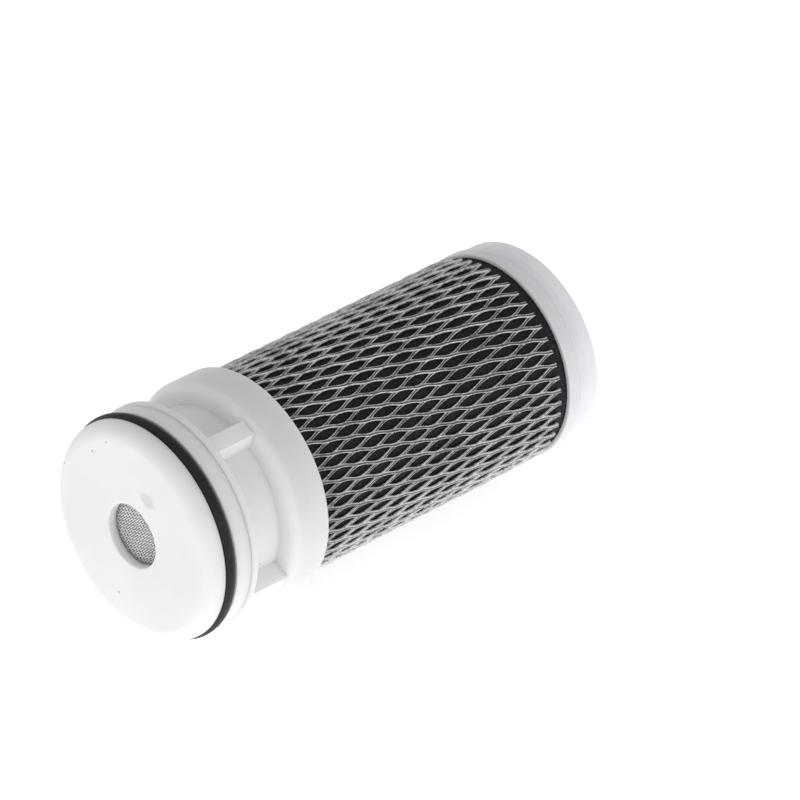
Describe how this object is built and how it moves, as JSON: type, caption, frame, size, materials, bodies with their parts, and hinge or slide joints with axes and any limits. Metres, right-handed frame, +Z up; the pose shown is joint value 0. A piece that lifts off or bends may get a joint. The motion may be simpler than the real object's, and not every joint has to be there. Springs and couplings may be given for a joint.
{
  "type": "inline water filter cartridge",
  "caption": "Replaceable filter cartridge: ribbed plastic base with a seal ring and screened outlet, black carbon core in a diamond net, closed end cap.",
  "frame": {"origin": "on the surface that the cartridge lies on, under the middle of its length", "axes": "+X along the cartridge's axis from the outlet face to the closed end cap, +Z up"},
  "size_m": [0.108, 0.0482, 0.0482],
  "materials": {
    "white_plastic": "satin moulded polypropylene",
    "seal_rubber": "satin black rubber",
    "woven_steel": "plain-woven stainless wire",
    "natural_plastic": "matte natural polypropylene",
    "hot_melt": "satin set hot-melt",
    "white_fleece": "matte fleece",
    "carbon": "matte bound activated carbon",
    "clear_net": "gloss translucent extruded net"
  },
  "bodies": {
    "root": {"outlet_cap": "white_plastic", "o_ring": "seal_rubber", "outlet_screen": "woven_steel", "screen_retainer": "natural_plastic", "base_cup": "white_plastic", "base_potting": "hot_melt", "core_tube": "natural_plastic", "inner_fleece": "white_fleece", "carbon_block": "carbon", "net_sleeve": "clear_net", "cap_potting": "hot_melt", "end_cap": "white_plastic"}
  },
  "joints": []
}
